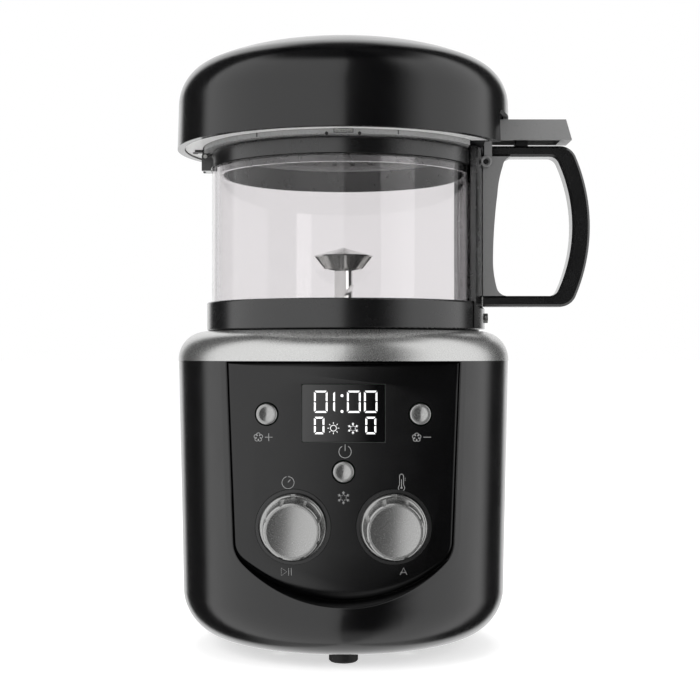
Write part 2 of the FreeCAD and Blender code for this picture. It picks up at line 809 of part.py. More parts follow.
def buildCoil(start):
    """One unbroken winding of flat resistance ribbon on the edges of the mica cross."""
    body = newBody("coil")
    inner = coilRadius - coilWire
    sketch = outline(body, "coil_ribbon_section", [
        (inner, start),
        (inner + coilWire, start),
        (inner + coilWire, start + ribbonWidth),
        (inner, start + ribbonWidth),
    ])
    doc.recompute()
    helix = body.newObject("PartDesign::AdditiveHelix", "coil_helix")
    helix.Profile = sketch
    helix.ReferenceAxis = (sketch, ["V_Axis"])
    helix.Mode = 0
    helix.setExpression("Pitch", coilPitch.formula)
    helix.setExpression("Height", (coilPitch * coilTurns).formula)
    print(f"heater ribbon: least gap between turns {coilPitch.value - ribbonWidth.value:.2f} mm")
    return body


def buildCutoff():
    x = heaterHole + canWall + 0.1
    disc = cylinder("cutoff_disc", 7, (-x - 3, 0, 120), 3, "x")
    cap = cylinder("cutoff_cap", 5, (-x - 8, 0, 120), 5, "x")
    tabs = [box(f"cutoff_tab{i}", (-x - 12, y - 2, 119.5), (-x - 8, y + 2, 120.5))
            for i, y in enumerate((-3, 3))]
    keep("thermal_cutoff", fuse("thermal_cutoff", disc, cap, *tabs))


def buildDrive():
    case = revolved("gear_turned", [
        (driveRadius + fit, gearBottom + 16),
        (0, gearBottom + 16),
        (0, gearBottom),
        (gearRadius, gearBottom),
        (gearRadius, canBottom - 1, 1),
        (gearRadius - 1, canBottom),
        (driveRadius + fit, canBottom),
    ])
    ears = [box(f"gear_ear{i}", (x - 4, -3, canBottom - 2), (x + 4, 3, canBottom))
            for i, x in enumerate((-21, 21))]
    keep("gear_motor", fuse("gear_motor", case, *ears))
    keep("drive_shaft", cylinder("drive_rod", driveRadius, (0, 0, gearBottom + 17),
                                 dogTop - 14 - gearBottom - 17))
    half = dogSide * 0.5
    collar = cylinder("dog_collar", 7, (0, 0, dogTop - 14), 5)
    square = box("dog_square", (-half, -half, dogTop - 9), (half, half, dogTop))
    soft = roundEdges("dog_square", square, 1, lambda place, heading: abs(heading.z) < 0.1
                      and place.z > dogTop.value - 0.1, chamfer=True)
    keep("drive_dog", fuse("drive_dog", collar, soft))


def buildPower():
    plane = asLength(52)
    board = box("power_plate", (-30, plane, blowerBottom), (30, plane + 1.6, 80))
    parts = [
        box("power_coil", (-24, plane + 1.6, 26), (-6, plane + 16, 44)),
        box("power_relay", (4, plane + 1.6, 50), (20, plane + 12, 70)),
        box("power_terminal", (-6, plane + 1.6, 13), (20, plane + 10, 22)),
        cylinder("power_capacitor", 6, (-16, plane + 1.6, 60), 14, "y"),
    ]
    keep("power_board", fuse("power_board", board, *parts))
    seat = shellLowRadius - 1.3
    flange = cylinder("gland_flange", 8, (0, seat, 32), 2.4, "y")
    sleeve = cylinder("gland_sleeve", 5, (0, seat - 5, 32), 5, "y")
    nut = cylinder("gland_nut", 7.5, (0, seat - 5, 32), 2.4, "y")
    bore = cylinder("gland_bore", 3.2, (0, seat - 8, 32), 14, "y")
    keep("cable_gland", cut("cable_gland", fuse("cable_gland", flange, sleeve, nut), bore))


# Chamber

def buildCollar():
    spigot = wellRadius - spigotPlay
    groove = glassRadius - glassWall - 0.4
    keep("chamber_collar", roundEdges("collar", revolved("collar_turned", [
        (spigot - spigotWall, spigotBottom),
        (spigot, spigotBottom),
        (spigot, collarBottom),
        (collarRadius, collarBottom),
        (collarRadius, collarTop),
        (glassRadius + 0.4, collarTop),
        (glassRadius + 0.4, glassFoot - sealThickness),
        (groove, glassFoot - sealThickness),
        (groove, floorHeight + 4),
        (groove - 2.4, floorHeight + 4),
        (groove - 2.4, floorHeight),
        (groove - 5, floorHeight),
        (groove - 5, collarBottom + 2.5),
        (spigot - spigotWall, collarBottom + 2.5),
    ]), 1.0, lambda place, heading: math.hypot(place.x, place.y) > collarRadius.value - 0.01))


def buildGlass():
    inner = glassRadius - glassWall
    keep("glass_tube", revolved("glass_turned", [
        (inner, glassFoot),
        (glassRadius, glassFoot),
        (glassRadius, ringBottom - 0.5),
        (inner, ringBottom - 0.5),
    ]))
    keep("lower_seal", revolved("lower_seal_turned", [
        (inner, glassFoot - sealThickness),
        (glassRadius, glassFoot - sealThickness),
        (glassRadius, glassFoot),
        (inner, glassFoot),
    ]))
    keep("upper_seal", revolved("upper_seal_turned", [
        (inner + 0.4, ringBottom - 0.5),
        (glassRadius - 0.4, ringBottom - 0.5),
        (glassRadius - 0.4, ringBottom),
        (inner + 0.4, ringBottom),
    ]))
    keep("top_ring", revolved("top_ring_turned", [
        (inner - 2.2, ringBottom - 4),
        (inner - 0.3, ringBottom - 4),
        (inner - 0.3, ringBottom),
        (ringRadius, ringBottom),
        (ringRadius, ringTop - 1, 1),
        (ringRadius - 1, ringTop),
        (inner - 2.2, ringTop),
    ]))


def buildFloor():
    edge = glassRadius - glassWall - 2.8 - 0.2
    disc = revolved("floor_turned", [
        (6.1, floorHeight),
        (edge, floorHeight),
        (edge, floorHeight + floorThickness),
        (6.1, floorHeight + floorThickness),
    ])
    low = floorHeight - 1
    high = floorHeight + floorThickness + 1
    inner = around("floor_inner", lambda n: box(f"floor_inner{n}", (14, -1, low), (32, 1, high)), 16)
    outer = around("floor_outer", lambda n: box(f"floor_outer{n}", (36, -1, low), (54, 1, high)), 32, 5.6)
    keep("chamber_floor", cut("chamber_floor", disc, *inner, *outer))
    keep("stirrer_bush", revolved("stirrer_bush", [
        (shaftRadius + fit, floorHeight - 3),
        (6, floorHeight - 3),
        (6, floorHeight + floorThickness),
        (9, floorHeight + floorThickness),
        (9, floorHeight + floorThickness + 1.2),
        (shaftRadius + fit, floorHeight + floorThickness + 1.2),
    ]))


def buildStirrerHub():
    """A driven hub whose square socket drops over the drive dog."""
    bushTop = floorHeight + floorThickness + 1.2
    half = dogSide * 0.5 + 0.4
    hub = revolved("stirrer_turned", [
        (0, dogTop - 8.5),
        (9, dogTop - 8.5),
        (9, dogTop + 4, 1),
        (8, dogTop + 5),
        (shaftRadius, dogTop + 5),
        (shaftRadius, bushTop + 0.4),
        (8.5, bushTop + 0.4),
        (8.5, bushTop + 2.4, 1.2),
        (7.3, bushTop + 3.6),
        (0, bushTop + 3.6),
    ])
    socket = box("stirrer_socket", (-half, -half, dogTop - 10), (half, half, dogTop + 0.6))
    keep("stirrer_hub", cut("stirrer_hub", hub, socket))


def buildStirrerBlade():
    bushTop = floorHeight + floorThickness + 1.2
    base = bushTop + 3.6
    hat = revolved("stirrer_hat", [
        (0, base),
        (6, base),
        (5, base + 4),
        (5, hatTop - 13),
        (hatRadius - 6, hatTop - 12),
        (hatRadius, hatTop - 5.5),
        (hatRadius - 0.4, hatTop - 4.6),
        (0, hatTop),
    ])

    def paddle(number):
        return padded(f"paddle{number}", [
            (-4.8, base + 0.2),
            (-3.4, base + 0.2),
            (5.2, base + 9.7),
            (3.8, base + 9.7),
        ], bladeReach - 2, lift=2)

    keep("stirrer_blade", fuse("stirrer_blade", hat, *around("paddle", paddle, 2)))


# Handle and thumb lever

def buildSpine():
    inner = spineRadius - spineWall
    foot = collarRadius + 0.3
    strap = revolved("spine_turned", [
        (foot, collarBottom + 1),
        (foot + 2.4, collarBottom + 1),
        (foot + 2.4, handleBottom - 1.5),
        (spineRadius, handleBottom),
        (spineRadius, spineTop),
        (inner, spineTop),
        (inner, collarTop + 0.3),
        (foot, collarTop + 0.3),
    ], angle=45.0)
    bindPlace(strap, 0, 0, 0, FreeCAD.Rotation(FreeCAD.Vector(0, 0, 1), -22.5))
    notches = [cylinder(f"spine_notch{i}", 4, (pivotX, y, pivotZ), 4, "y")
               for i, y in enumerate((-11.5, 7.5))]
    seats = [cylinder(f"screw_seat{i}", screwHead + 0.1, (collarRadius + screwSeat, y, screwZ), 4, "x")
             for i, y in enumerate(pairX(screwY))]
    pinHole = cylinder("spine_pin_hole", pivotPin + 0.1, (pivotX, -12, pivotZ), 24, "y")
    keep("handle_spine", cut("handle_spine", strap, *notches, *seats, pinHole))


def buildWeb():
    top = handleTop - handleBar
    bottom = handleBottom + handleBar
    web = padded("web_body", [
        (spineRadius + 0.2, bottom),
        (90, bottom, -6),
        (83.5, bottom + 4.5, -60),
        (81.5, bottom + 18, -300),
        (83.9, top - 20.5, -60),
        (86.9, top - 5, -6),
        (91, top),
        (spineRadius + 0.2, top),
    ], webHalf * 2, middle=True)
    pinHole = cylinder("web_pin_hole", pivotPin + 0.1, (pivotX, -12, pivotZ), 24, "y")
    keep("handle_web", cut("handle_web", web, pinHole))


def tangentCorner(centreX, middle, sideRadius, bar, corner, up):
    """Where a corner arc leaves a level bar and where it meets the side arc of the grip."""
    rise = bar - corner * up - middle
    reach = sideRadius - corner
    across = root(reach * reach - rise * rise)
    stretch = sideRadius / reach
    return (centreX + across, bar), (centreX + across * stretch, middle + rise * stretch)


def buildGrip():
    """The D-shaped grip: a bar that leaves the spine, runs round the hand and comes back."""
    middle = (handleTop + handleBottom) * 0.5
    start = spineRadius + 0.3
    outerCentre = handleReach - gripOuter
    innerCentre = handleReach - gripThickness - gripInner
    topBar, lowBar = handleTop - handleBar, handleBottom + handleBar
    a1, a2 = tangentCorner(outerCentre, middle, gripOuter, handleTop, gripCorner, 1)
    a4, a3 = tangentCorner(outerCentre, middle, gripOuter, handleBottom, gripCorner, -1)
    b1, b2 = tangentCorner(innerCentre, middle, gripInner, lowBar, gripInnerCorner, -1)
    b4, b3 = tangentCorner(innerCentre, middle, gripInner, topBar, gripInnerCorner, 1)
    loop = padded("grip_body", [
        (start, handleTop),
        (*a1, -gripCorner),
        (*a2, -gripOuter),
        (*a3, -gripCorner),
        a4,
        (start, handleBottom),
        (start, lowBar),
        (*b1, gripInnerCorner),
        (*b2, gripInner),
        (*b3, gripInnerCorner),
        b4,
        (start, topBar),
    ], gripHalf * 2, middle=True)

    def isRim(place, heading):
        return abs(abs(place.y) - gripHalf.value) < 0.01 and place.x > start.value + 0.5

    keep("handle_grip", roundEdges("grip", loop, gripBevel, isRim, chamfer=True))


def buildHandleScrews():
    screws = [cylinder(f"handle_screw{i}", screwHead, (collarRadius + screwSeat, y, screwZ), 1.7, "x")
              for i, y in enumerate(pairX(screwY))]
    keep("handle_screws", group("handle_screws", screws))


def buildLever():
    """A hollow thumb lever; its two cheeks reach down beside the grip to the pivot pin."""
    top = box("lever_block", (pivotX - 0.9, -leverHalf, leverBottom), (leverReach, leverHalf, leverTop))
    slant = padded("lever_slant", [
        (leverReach, leverBottom),
        (leverReach - 3.2, leverTop),
        (leverReach - 3.2, leverTop + 2),
        (leverReach + 3, leverTop + 2),
        (leverReach + 3, leverBottom),
    ], leverHalf * 3, middle=True)
    hollow = box("lever_hollow", (pivotX + 3, -leverHalf + leverWall, leverBottom - 1),
                 (leverReach - 6, leverHalf - leverWall, leverTop - leverWall))
    throat = box("lever_throat", (pivotX - 3, -leverHalf + leverWall, leverBottom - 1),
                 (pivotX + 5, leverHalf - leverWall, leverTop - leverWall - 4))
    cheeks = []
    for number, y in enumerate((-leverHalf, leverHalf - leverWall)):
        cheeks.append(box(f"lever_cheek{number}", (pivotX - 0.9, y, pivotZ),
                          (pivotX + 3.3, y + leverWall, leverBottom + 1)))
        cheeks.append(cylinder(f"lever_boss{number}", 3.3, (pivotX, y, pivotZ), leverWall, "y"))
    pinHole = cylinder("lever_pin_hole", pivotPin + 0.1, (pivotX, -14, pivotZ), 28, "y")
    head = cut("lever_head", top, slant, hollow, throat)
    keep("thumb_lever", cut("thumb_lever", fuse("thumb_lever", head, *cheeks), pinHole))
    keep("lever_pin", cylinder("lever_pin_rod", pivotPin, (pivotX, -leverHalf - 0.4, pivotZ),
                               leverHalf * 2 + 0.8, "y"))
    block = box("buffer_block", (94, -4, handleTop), (101, 4, leverTop - leverWall - 3))
    keep("lever_buffer", roundEdges("buffer", block, 1, lambda place, heading: abs(heading.z) > 0.99))


# Lid

def buildDome():
    wall = lidWall
    bendOut = asLength(23.5)
    bendIn = bendOut - wall
    side = lidRadius - 0.7
    dome = revolved("dome_turned", [
        (lidRadius, lidRim),
        (side, lidShoulder, bendOut),
        (side - 14.9, lidShoulder + 21.9, 110),
        (side - 44.9, lidTop - 0.9, 1125),
        (1, lidTop),
        (0, lidTop),
        (0, lidTop - wall),
        (1, lidTop - wall, -1122),
        (side - 45.2, lidTop - wall - 0.9, -107),
        (side - 15.85, lidShoulder + 19.48, -bendIn),
        (side - wall, lidShoulder),
        (side - wall - 0.6, lidRim),
    ])
    slot = box("dome_slot", (60, -slotHalf, lidRim - 1), (100, slotHalf, slotTop))
    soft = roundEdges("dome_slot", slot, 3, lambda place, heading: abs(heading.x) > 0.99
                      and place.z > slotTop.value - 1)
    vents = []
    for number in range(9):
        vent = box(f"vent{number}", (70, -1.2, 277), (100, 1.2, 289))
        turn = FreeCAD.Rotation(FreeCAD.Vector(0, 0, 1), 90 + 7 * (number - 4))
        holder = group(f"vent{number}", [vent])
        holder.Placement = FreeCAD.Placement(FreeCAD.Vector(), turn)
        vents.append(holder)
    keep("lid_dome", cut("lid_dome", dome, soft, *vents))


def handleNotch(name, x):
    return box(name, (x, -slotHalf, 260), (100, slotHalf, 280))


def buildUnderplate():
    rim = lidRadius - 0.7 - lidWall - 0.9
    inner = bandRadius + 0.6
    plate = revolved("underplate_turned", [
        (62, bandTop + 0.1),
        (inner, bandTop + 0.1),
        (inner, underPlane),
        (rim, underPlane),
        (rim, underPlane + 1.5),
        (inner + 1.5, underPlane + 1.5),
        (inner + 1.5, bandTop + 1.6),
        (62, bandTop + 1.6),
    ])
    keep("lid_underplate", cut("lid_underplate", plate, handleNotch("underplate_notch", 66)))
    band = revolved("band_turned", [
        (62, bandBottom),
        (bandRadius, bandBottom),
        (bandRadius, bandTop),
        (bandRadius - 1.5, bandTop),
        (bandRadius - 1.5, bandBottom + 1.5),
        (62, bandBottom + 1.5),
    ])
    earNotch = box("band_ear_notch", (-80, -6.8, 260), (-hingeX + 4.2, 6.8, 280))
    keep("filter_ring", cut("filter_ring", band, handleNotch("band_notch", 66), earNotch))


def buildFilter():
    plane = bandBottom + 1.5
    disc = revolved("filter_turned", [
        (0, plane),
        (66, plane),
        (66, plane + 0.6),
        (0, plane + 0.6),
    ])
    tools = []
    for ring, (count, low, high) in enumerate(((10, 8, 22), (20, 25, 39), (30, 42, 58))):
        tools += around(f"mesh{ring}", lambda n, r=ring, a=low, b=high: box(
            f"mesh{r}_{n}", (a, -1.3, plane - 1), (b, 1.3, plane + 2)), count)
    keep("chaff_filter", cut("chaff_filter", disc, *tools))
    clip = box("clip_bar", (-4.6, -bandRadius - 1.6, bandBottom + 0.4),
               (4.6, -bandRadius - 0.1, bandBottom + 2))
    posts = [box(f"clip_post{i}", (x - 0.8, -bandRadius - 1.6, bandBottom + 1.9),
                 (x + 0.8, -bandRadius - 0.1, underPlane)) for i, x in enumerate((-3.6, 3.6))]
    keep("filter_clip", fuse("filter_clip", clip, *posts))


def buildLiner():
    inner = lidRadius - 0.7 - lidWall - 0.9
    block = box("liner_block", (66.2, -35.5, underPlane), (90, 35.5, slotTop + 1.4))
    core = cylinder("liner_core", inner, (0, 0, 260), 40)
    inside = box("liner_inside", (74.6, -34, underPlane - 1), (95, 34, slotTop))
    pocket = box("liner_pocket", (67.7, -34, underPlane + 1.5), (73.1, 34, slotTop + 3))
    keep("slot_liner", cut("slot_liner", common("slot_liner", block, core), inside, pocket))


def buildHinge():
    ears = []
    for number, y in enumerate((-6, 3.4)):
        ears.append(box(f"hinge_ear{number}", (-hingeX - 2, y, ringBottom - 0.6),
                        (-ringRadius + 0.6, y + 2.6, hingeZ)))
        ears.append(cylinder(f"hinge_round{number}", 2, (-hingeX, y, hingeZ), 2.6, "y"))
    bridge = box("hinge_bridge", (-hingeX - 0.4, -6, ringBottom - 0.6),
                 (-ringRadius + 0.6, 6, ringBottom + 3.2))
    core = cylinder("hinge_ring_core", ringRadius + 0.05, (0, 0, 250), 30)
    pinHole = cylinder("ear_pin_hole", hingePin + 0.05, (-hingeX, -8, hingeZ), 16, "y")
    keep("lid_clip", cut("lid_clip", fuse("lid_clip", *ears, bridge), core, pinHole))
    keep("hinge_pin", cylinder("hinge_pin_rod", hingePin, (-hingeX, -6.3, hingeZ), 12.6, "y"))
    knuckle = cylinder("knuckle_round", 1.9, (-hingeX, -3, hingeZ), 6, "y")
    neck = box("knuckle_neck", (-hingeX - 1.9, -3, hingeZ), (-hingeX + 1.2, 3, underPlane - 0.9))
    leaf = box("knuckle_leaf", (-hingeX - 6, -3, underPlane - 1), (-hingeX + 1.2, 3, underPlane))
    bore = cylinder("knuckle_bore", hingePin + fit, (-hingeX, -8, hingeZ), 16, "y")
    keep("lid_knuckle", cut("lid_knuckle", fuse("lid_knuckle", knuckle, neck, leaf), bore))


def buildAll():
    buildShell()
    buildPlate()
    buildFeet()
    buildPlateScrews()
    buildShoulder()
    buildWell()
    buildSeatGasket()
    buildPanel()
    buildDisplay()
    buildBoard()
    buildSwitches()
    buildButton("fan_up_button", -fanButtonX, fanButtonZ)
    buildButton("fan_down_button", fanButtonX, fanButtonZ)
    buildButton("power_button", asLength(0), powerButtonZ)
    timer = buildKnobParts("timer", -knobX)
    heat = buildKnobParts("heat", knobX)
    keep("knob_bezels", group("knob_bezels", [timer[0], heat[0]]))
    keep("encoders", group("encoders", [timer[1], heat[1]]))
    keep("timer_spindle", timer[2])
    keep("heat_spindle", heat[2])
    buildKnob("timer_knob", -knobX)
    buildKnob("heat_knob", knobX)
    buildBlower()
    buildMotor()
    buildImpeller()
    buildHeater()
    buildCutoff()
    buildDrive()
    buildPower()
    buildCollar()
    buildGlass()
    buildFloor()
    buildStirrerHub()
    buildStirrerBlade()
    buildSpine()
    buildWeb()
    buildGrip()
    buildHandleScrews()
    buildLever()
    buildDome()
    buildUnderplate()
    buildFilter()
    buildLiner()
    buildHinge()


def checkAndWrite():
    doc.recompute()
    for thing in doc.Objects:
        if "Invalid" in thing.State or "Error" in thing.State:
            raise RuntimeError(f"{thing.Name} failed: {thing.State}")
    os.makedirs("parts", exist_ok=True)
    for node in nodes:
        shape = node.Shape
        if shape.isNull() or not shape.isValid() or not shape.Solids:
            raise RuntimeError("bad shape: " + node.Label)
        print(f"{node.Label}: {len(shape.Solids)} solids, {shape.Volume:.0f} mm3")
    for node in nodes:
        node.Shape.exportStep(f"parts/{node.Label}.step")


buildAll()
checkAndWrite()
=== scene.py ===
import json
import math
import bpy
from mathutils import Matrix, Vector

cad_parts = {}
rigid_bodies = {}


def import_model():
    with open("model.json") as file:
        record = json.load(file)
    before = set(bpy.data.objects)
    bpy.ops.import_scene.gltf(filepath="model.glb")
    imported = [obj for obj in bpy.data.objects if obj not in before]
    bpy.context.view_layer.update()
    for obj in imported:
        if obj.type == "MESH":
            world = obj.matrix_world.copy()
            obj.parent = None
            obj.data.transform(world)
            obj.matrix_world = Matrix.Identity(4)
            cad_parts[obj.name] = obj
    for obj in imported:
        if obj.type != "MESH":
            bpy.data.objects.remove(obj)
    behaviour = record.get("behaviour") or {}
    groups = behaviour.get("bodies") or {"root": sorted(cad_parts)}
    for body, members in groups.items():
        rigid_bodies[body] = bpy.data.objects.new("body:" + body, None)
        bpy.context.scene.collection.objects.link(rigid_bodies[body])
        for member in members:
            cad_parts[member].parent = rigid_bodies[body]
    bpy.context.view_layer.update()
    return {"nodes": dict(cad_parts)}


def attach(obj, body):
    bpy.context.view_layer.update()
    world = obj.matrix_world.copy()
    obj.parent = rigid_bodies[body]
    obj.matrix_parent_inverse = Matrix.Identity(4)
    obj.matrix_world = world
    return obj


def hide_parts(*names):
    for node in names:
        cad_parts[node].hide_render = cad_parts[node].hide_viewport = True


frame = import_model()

# Home coffee bean roaster: looks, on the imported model. Metres, +Z up, the front faces -Y.
mm = 0.001
scene = bpy.context.scene
scene.view_settings.view_transform = "Standard"
print("frame loaded")


def rgb(code):  # sRGB hex to the linear colour that the shaders use
    parts = [int(code[i:i + 2], 16) / 255 for i in (0, 2, 4)]
    return [p / 12.92 if p <= 0.04045 else ((p + 0.055) / 1.055) ** 2.4 for p in parts] + [1.0]


def addNode(tree, kind, inputs=None, **settings):  # one node, with its settings, values and links
    made = tree.nodes.new(kind)
    for name, value in settings.items():
        setattr(made, name, value)
    for name, value in (inputs or {}).items():
        if isinstance(value, bpy.types.NodeSocket):
            tree.links.new(value, made.inputs[name])
        else:
            made.inputs[name].default_value = value
    return made


def deselect():
    for thing in bpy.context.view_layer.objects.selected:
        thing.select_set(False)


def pick(thing):  # makes one object the only selected one
    deselect()
    bpy.context.view_layer.objects.active = thing
    thing.select_set(True)
    return thing


def settle(thing):  # moves the object's place into its mesh
    pick(thing)
    bpy.ops.object.transform_apply(location=True, rotation=True, scale=True)
    return thing


def applyAll(thing):
    pick(thing)
    for modifier in list(thing.modifiers):
        bpy.ops.object.modifier_apply(modifier=modifier.name)
    return thing


def joined(name, things):
    deselect()
    for thing in things:
        thing.select_set(True)
    bpy.context.view_layer.objects.active = things[0]
    if len(things) > 1:
        bpy.ops.object.join()
    whole = bpy.context.view_layer.objects.active
    whole.name = name
    whole.data.name = name
    return settle(whole)


def finish(thing, material, body, nodes=()):  # material, body, slot and the CAD nodes it stands for
    thing.data.materials.clear()
    thing.data.materials.append(material)
    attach(thing, body)
    if nodes:
        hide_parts(*nodes)
    return thing


# Camera, at the height of the glass, looking level at the front
view = {"distance": 0.770, "height": 0.1565, "lens": 72.0, "shiftX": 0.0093, "shiftY": 0.0086}
camera = bpy.data.objects.new("camera", bpy.data.cameras.new("camera"))
scene.collection.objects.link(camera)
camera.location = (0, -view["distance"], view["height"])
camera.rotation_euler = (math.radians(90), 0, 0)
camera.data.lens = view["lens"]
camera.data.sensor_width = 36
camera.data.shift_x = view["shiftX"]
camera.data.shift_y = view["shiftY"]
camera.data.clip_start = 0.01
scene.camera = camera

# Studio: white background, pale floor, soft lamps, and softboxes and dark flags that only gloss shows
studio = {
    "ambient": 0.55,
    # softboxes and dark flags in turn: where each begins, in degrees from the back, and its level
    "ring": [(0, 1.0), (25, 1.0), (35, 0.03), (65, 0.03), (75, 1.0), (179.8, 1.0), (180.2, 0.03),
             (210, 0.03), (240, 1.0), (290, 1.0), (305, 0.03), (325, 0.03), (335, 1.0), (360, 1.0)],
    "lean": 0.08,  # how far the softbox edges lean, sideways per upwards
}


def setStops(ramp, levels, blend):
    ramp.color_ramp.interpolation = blend
    stops = ramp.color_ramp.elements
    while len(stops) > 1:
        stops.remove(stops[-1])
    for number, (position, level) in enumerate(levels):
        stop = stops[0] if number == 0 else stops.new(position)
        stop.position = position
        stop.color = (level, level, level, 1)


def buildWorld():
    world = bpy.data.worlds.new("studio")
    scene.world = world
    world.use_nodes = True
    tree = world.node_tree
    tree.nodes.clear()
    way = addNode(tree, "ShaderNodeTexCoord")
    parts = addNode(tree, "ShaderNodeSeparateXYZ", {0: way.outputs["Generated"]})
    # 0 is the back, a quarter the left side, a half the front and three quarters the right side
    backwards = addNode(tree, "ShaderNodeMath", {0: parts.outputs["X"], 1: -1.0}, operation="MULTIPLY")
    turn = addNode(tree, "ShaderNodeMath", {0: backwards.outputs[0], 1: parts.outputs["Y"]},
                   operation="ARCTAN2")
    share = addNode(tree, "ShaderNodeMath", {0: turn.outputs[0], 1: 1 / (2 * math.pi)}, operation="MULTIPLY")
    leaning = addNode(tree, "ShaderNodeMath", {0: parts.outputs["Z"], 1: -studio["lean"] / (2 * math.pi),
                                               2: share.outputs[0]}, operation="MULTIPLY_ADD")
    whole = addNode(tree, "ShaderNodeMath", {0: leaning.outputs[0], 1: 1.0}, operation="FLOORED_MODULO")
    ramp = addNode(tree, "ShaderNodeValToRGB", {0: whole.outputs[0]})
    setStops(ramp, [(angle / 360, level) for angle, level in studio["ring"]], "EASE")
    # the softboxes end at about 60 degrees up, and the ceiling above them is dark
    ceiling = addNode(tree, "ShaderNodeMapRange", {0: parts.outputs["Z"], 1: 0.78, 2: 0.93, 3: 1.0, 4: 0.05},
                      interpolation_type="SMOOTHSTEP")
    boxes = addNode(tree, "ShaderNodeVectorMath", {0: ramp.outputs[0], 1: ceiling.outputs[0]},
                    operation="MULTIPLY")
    # and the pale floor shows from below
    floorward = addNode(tree, "ShaderNodeMapRange", {0: parts.outputs["Z"], 1: -0.95, 2: -0.72, 3: 0.5, 4: 0.0},
                        interpolation_type="SMOOTHSTEP")
    around = addNode(tree, "ShaderNodeMix", {0: floorward.outputs[0], 6: boxes.outputs[0], 7: rgb("f4f4f4")},
                     data_type="RGBA")
    path = addNode(tree, "ShaderNodeLightPath")
    plain = addNode(tree, "ShaderNodeBackground", {"Color": rgb("ffffff"), "Strength": studio["ambient"]})
    glossy = addNode(tree, "ShaderNodeBackground", {"Color": around.outputs[2], "Strength": 1.0})
    white = addNode(tree, "ShaderNodeBackground", {"Color": rgb("ffffff"), "Strength": 1.0})
    first = addNode(tree, "ShaderNodeMixShader", {0: path.outputs["Is Glossy Ray"], 1: plain.outputs[0],
                                                  2: glossy.outputs[0]})
    seen = addNode(tree, "ShaderNodeMath", {0: path.outputs["Is Camera Ray"],
                                            1: path.outputs["Is Transmission Ray"]}, operation="MAXIMUM")
    second = addNode(tree, "ShaderNodeMixShader", {0: seen.outputs[0], 1: first.outputs[0],
                                                   2: white.outputs[0]})
    addNode(tree, "ShaderNodeOutputWorld", {"Surface": second.outputs[0]})


lamps = [  # name, place, width, height, watts
    ("keyLamp", (-0.9, -1.0, 0.95), 0.9, 0.9, 9.0),
    ("fillLamp", (1.0, -0.9, 0.55), 0.8, 1.0, 5.0),
    ("topLamp", (0.0, 0.3, 1.3), 1.0, 1.0, 7.0),
]


def buildLamps():
    for name, place, wide, tall, power in lamps:
        light = bpy.data.lights.new(name, "AREA")
        light.shape = "RECTANGLE"
        light.size = wide
        light.size_y = tall
        light.energy = power
        lamp = bpy.data.objects.new(name, light)
        scene.collection.objects.link(lamp)
        lamp.location = place
        lamp.rotation_euler = (Vector((0, 0, 0.16)) - Vector(place)).to_track_quat("-Z", "Y").to_euler()
        lamp.visible_glossy = False


def buildFloor():
    deselect()
    bpy.ops.mesh.primitive_plane_add(size=80, location=(0, 0, 0))
    floor = bpy.context.object
    floor.name = "studioFloor"
    material = bpy.data.materials.new("pale studio floor")
    material.use_nodes = True
    tree = material.node_tree
    tree.nodes.clear()
    path = addNode(tree, "ShaderNodeLightPath")
    seen = addNode(tree, "ShaderNodeMath", {0: path.outputs["Is Camera Ray"], 1: path.outputs["Is Glossy Ray"]},
                   operation="MAXIMUM")
    lift = addNode(tree, "ShaderNodeMath", {0: seen.outputs[0], 1: 0.6}, operation="MULTIPLY")
    paper = addNode(tree, "ShaderNodeBsdfDiffuse", {"Color": rgb("e8e8e8")})
    glow = addNode(tree, "ShaderNodeEmission", {"Color": rgb("ffffff"), "Strength": lift.outputs[0]})
    both = addNode(tree, "ShaderNodeAddShader", {0: paper.outputs[0], 1: glow.outputs[0]})
    addNode(tree, "ShaderNodeOutputMaterial", {"Surface": both.outputs[0]})
    floor.data.materials.append(material)
    floor.visible_glossy = False  # gloss sees the studio's own pale underside instead


buildWorld()
buildLamps()
buildFloor()
print("studio done")


# Materials


def finishOf(name, colour, roughness, metallic=0.0, spread=0.0, tone=0.0, grain=1.0, dent=0.0,
             **sockets):
    # colour varies by tone and roughness by spread, over patches of the grain's size in mm;
    # dent is the depth of those patches in mm
    material = bpy.data.materials.new(name)
    material.use_nodes = True
    tree = material.node_tree
    shader = tree.nodes["Principled BSDF"]
    shader.inputs["Base Color"].default_value = rgb(colour)
    shader.inputs["Roughness"].default_value = roughness
    shader.inputs["Metallic"].default_value = metallic
    for socket, value in sockets.items():
        shader.inputs[socket.replace("_", " ")].default_value = value
    place = addNode(tree, "ShaderNodeTexCoord")
    noise = addNode(tree, "ShaderNodeTexNoise", {"Vector": place.outputs["Object"], "Scale": 1000 / grain,
                                                 "Detail": 3.0, "Roughness": 0.55})
    if spread:
        rough = addNode(tree, "ShaderNodeMapRange", {0: noise.outputs[0], 1: 0.3, 2: 0.7,
                                                     3: roughness - spread, 4: roughness + spread})
        tree.links.new(rough.outputs[0], shader.inputs["Roughness"])
    if tone:
        low = [max(0.0, c * (1 - tone)) for c in rgb(colour)[:3]] + [1.0]
        high = [min(1.0, c * (1 + tone)) for c in rgb(colour)[:3]] + [1.0]
        shade = addNode(tree, "ShaderNodeMix", {0: noise.outputs[0], 6: low, 7: high}, data_type="RGBA")
        tree.links.new(shade.outputs[2], shader.inputs["Base Color"])
    if dent:
        bump = addNode(tree, "ShaderNodeBump", {"Height": noise.outputs[0], "Distance": dent * mm,
                                                "Strength": 1.0})
        tree.links.new(bump.outputs[0], shader.inputs["Normal"])
    return material


# Glossy black ABS, injection moulded in a polished tool: deep black, sharp reflections, a faint waviness
glossAbs = finishOf("glossy black ABS, moulded", "070708", 0.2, spread=0.03, tone=0.25, grain=14, dent=0.002,
                    IOR=1.5, Coat_Weight=0.5, Coat_Roughness=0.12)
